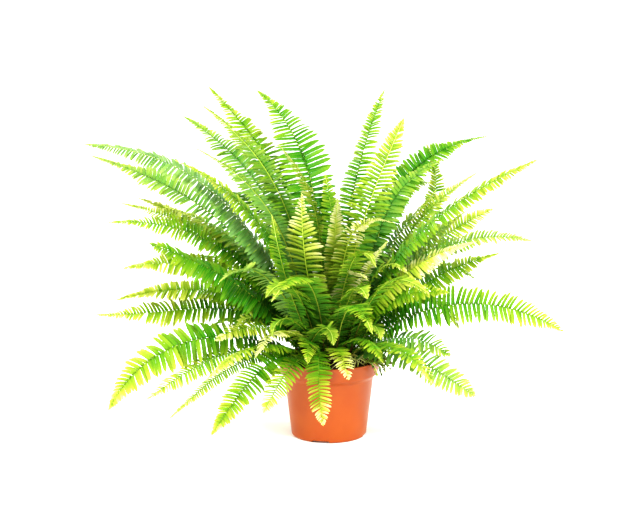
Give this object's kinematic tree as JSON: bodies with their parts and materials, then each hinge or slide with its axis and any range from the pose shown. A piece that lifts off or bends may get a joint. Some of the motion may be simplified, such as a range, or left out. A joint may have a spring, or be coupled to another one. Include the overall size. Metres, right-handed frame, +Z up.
{
  "type": "potted fern",
  "caption": "Potted sword fern: arching once-pinnate fronds rising from soil in a moulded plastic nursery pot with a collar.",
  "frame": {"origin": "centre of the pot's underside, on the surface that it stands on", "axes": "+Z up, +X to the right of the plant as it is usually seen, -Y towards its front"},
  "size_m": [0.6063, 0.4604, 0.4369],
  "materials": {
    "pot_plastic": "satin",
    "peat": "matte",
    "fern_leaf": "satin",
    "fern_runner": "satin"
  },
  "bodies": {
    "root": {"pot": "pot_plastic", "soil": "peat", "runner": "fern_runner", "frond_01": "fern_leaf", "frond_02": "fern_leaf", "frond_03": "fern_leaf", "frond_04": "fern_leaf", "frond_05": "fern_leaf", "frond_06": "fern_leaf", "frond_07": "fern_leaf", "frond_08": "fern_leaf", "frond_09": "fern_leaf", "frond_10": "fern_leaf", "frond_11": "fern_leaf", "frond_12": "fern_leaf", "frond_13": "fern_leaf", "frond_14": "fern_leaf", "frond_15": "fern_leaf", "frond_16": "fern_leaf", "frond_17": "fern_leaf", "frond_18": "fern_leaf", "frond_19": "fern_leaf", "frond_20": "fern_leaf", "frond_21": "fern_leaf", "frond_22": "fern_leaf", "frond_23": "fern_leaf", "frond_24": "fern_leaf", "frond_25": "fern_leaf", "frond_26": "fern_leaf", "frond_27": "fern_leaf", "frond_28": "fern_leaf", "frond_29": "fern_leaf", "frond_30": "fern_leaf", "frond_31": "fern_leaf", "frond_32": "fern_leaf", "frond_33": "fern_leaf", "frond_34": "fern_leaf", "frond_35": "fern_leaf", "frond_36": "fern_leaf", "frond_37": "fern_leaf", "frond_38": "fern_leaf", "frond_39": "fern_leaf", "frond_40": "fern_leaf", "frond_41": "fern_leaf", "frond_42": "fern_leaf", "frond_43": "fern_leaf", "frond_44": "fern_leaf", "frond_45": "fern_leaf", "frond_46": "fern_leaf", "frond_47": "fern_leaf", "frond_48": "fern_leaf", "frond_49": "fern_leaf", "frond_50": "fern_leaf", "frond_51": "fern_leaf", "frond_52": "fern_leaf", "frond_53": "fern_leaf", "frond_54": "fern_leaf", "frond_55": "fern_leaf", "frond_56": "fern_leaf", "frond_57": "fern_leaf"}
  },
  "joints": []
}
